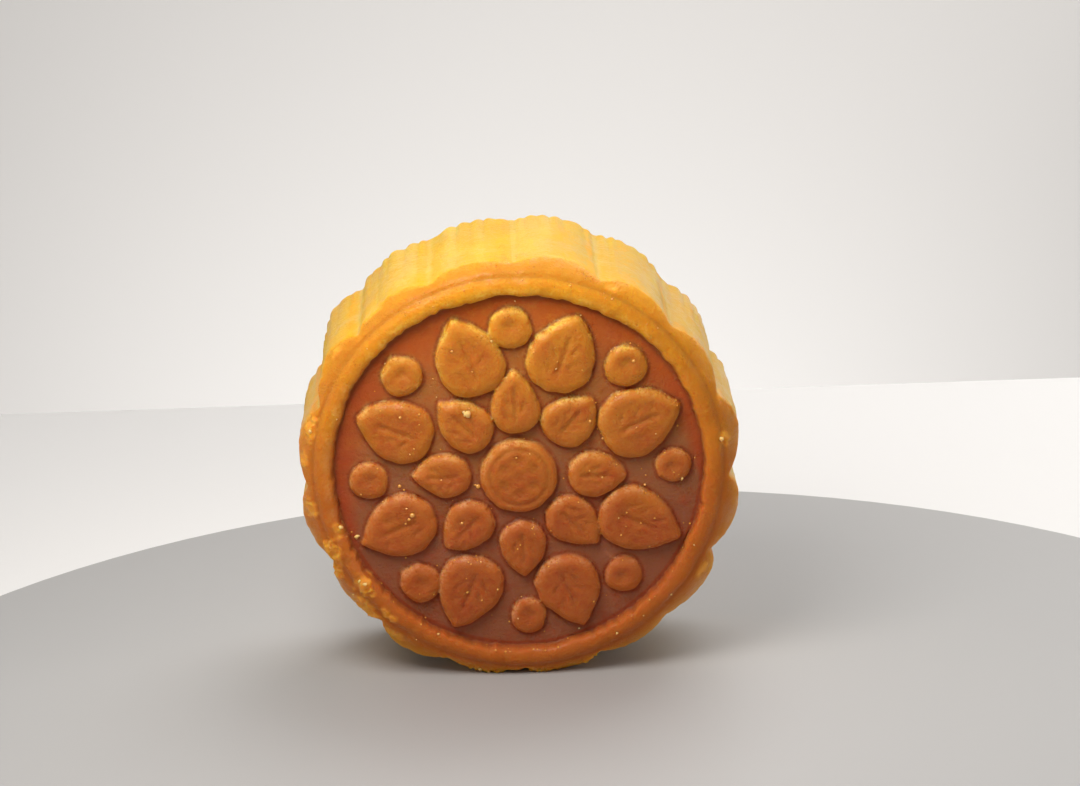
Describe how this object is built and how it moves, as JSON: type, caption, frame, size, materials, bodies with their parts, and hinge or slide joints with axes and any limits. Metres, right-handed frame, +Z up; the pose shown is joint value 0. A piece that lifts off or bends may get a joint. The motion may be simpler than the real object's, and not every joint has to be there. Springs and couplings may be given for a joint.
{
  "type": "mooncake",
  "caption": "Round baked mooncake with a lobed side, a raised ring and a lotus relief on its face, standing on its edge.",
  "frame": {"origin": "on the floor, below the middle of the cake's bounding box", "axes": "+Z up; the patterned face looks towards -Y and leans forward about 4 degrees; +X is to the right seen from the face"},
  "size_m": [0.0701, 0.032, 0.0699],
  "materials": {
    "crust": "baked syrup crust: waxy, slightly translucent golden brown with an oily sheen"
  },
  "bodies": {
    "root": {"mooncake": "crust"}
  },
  "joints": []
}
